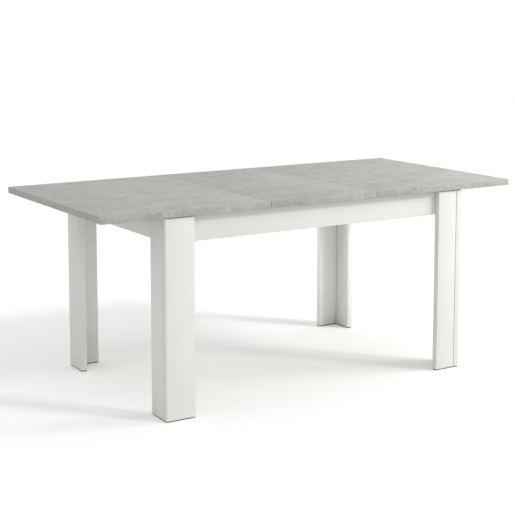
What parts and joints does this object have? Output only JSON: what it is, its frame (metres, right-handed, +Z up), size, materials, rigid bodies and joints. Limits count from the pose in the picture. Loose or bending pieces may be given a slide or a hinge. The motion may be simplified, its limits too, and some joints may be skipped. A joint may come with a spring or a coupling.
{
  "type": "extendable dining table",
  "caption": "Rectangular dining table on L-shaped board legs with an apron frame; the split top slides apart in guide channels around a loose middle leaf.",
  "frame": {"origin": "on the floor, under the middle of the open table", "axes": "+X along the table, towards the right half; +Y to the rear; +Z up"},
  "size_m": [1.9, 0.9, 0.785],
  "materials": {
    "concrete_laminate": "light grey concrete-look laminate on particleboard, matte",
    "white_melamine": "white melamine on particleboard, fine matte texture",
    "beech": "planed beech, unfinished",
    "zinc_plated_steel": "folded sheet, zinc plated",
    "white_nylon": "moulded nylon",
    "grey_polyethylene": "moulded, matte",
    "black_rubber": "moulded, matte"
  },
  "bodies": {
    "frame": {"apron_front": "white_melamine", "apron_left": "white_melamine", "apron_rear": "white_melamine", "apron_right": "white_melamine", "corner_block_front_left": "beech", "corner_block_front_right": "beech", "corner_block_rear_left": "beech", "corner_block_rear_right": "beech", "cross_rail_left": "beech", "cross_rail_right": "beech", "end_pad_front_left": "white_nylon", "end_pad_front_right": "white_nylon", "end_pad_rear_left": "white_nylon", "end_pad_rear_right": "white_nylon", "end_stop_front_left": "black_rubber", "end_stop_front_right": "black_rubber", "end_stop_rear_left": "black_rubber", "end_stop_rear_right": "black_rubber", "glide_front_left_narrow": "grey_polyethylene", "glide_front_left_wide": "grey_polyethylene", "glide_front_right_narrow": "grey_polyethylene", "glide_front_right_wide": "grey_polyethylene", "glide_rear_left_narrow": "grey_polyethylene", "glide_rear_left_wide": "grey_polyethylene", "glide_rear_right_narrow": "grey_polyethylene", "glide_rear_right_wide": "grey_polyethylene", "guide_channel_front": "zinc_plated_steel", "guide_channel_rear": "zinc_plated_steel", "leg_front_left_narrow_board": "white_melamine", "leg_front_left_wide_board": "white_melamine", "leg_front_right_narrow_board": "white_melamine", "leg_front_right_wide_board": "white_melamine", "leg_rear_left_narrow_board": "white_melamine", "leg_rear_left_wide_board": "white_melamine", "leg_rear_right_narrow_board": "white_melamine", "leg_rear_right_wide_board": "white_melamine", "side_pad_front_left": "white_nylon", "side_pad_front_right": "white_nylon", "side_pad_rear_left": "white_nylon", "side_pad_rear_right": "white_nylon"},
    "left_half": {"left_runner_front": "beech", "left_runner_rear": "beech", "left_shoe_front_inner": "white_nylon", "left_shoe_front_outer": "white_nylon", "left_shoe_rear_inner": "white_nylon", "left_shoe_rear_outer": "white_nylon", "left_top": "concrete_laminate"},
    "right_half": {"right_runner_front": "beech", "right_runner_rear": "beech", "right_shoe_front_inner": "white_nylon", "right_shoe_front_outer": "white_nylon", "right_shoe_rear_inner": "white_nylon", "right_shoe_rear_outer": "white_nylon", "right_top": "concrete_laminate"},
    "leaf": {"extension_leaf": "concrete_laminate", "leaf_batten_left": "beech", "leaf_batten_right": "beech"}
  },
  "joints": [
    {"name": "left_half_slide", "type": "slide", "parent": "frame", "child": "left_half", "axis": [-1, 0, 0], "range_m": [0, 0.04]},
    {"name": "right_half_slide", "type": "slide", "parent": "frame", "child": "right_half", "axis": [1, 0, 0], "range_m": [0, 0.04]},
    {"name": "leaf_lift", "type": "slide", "parent": "frame", "child": "leaf", "axis": [0, 0, 1], "range_m": [0, 0.35]}
  ]
}
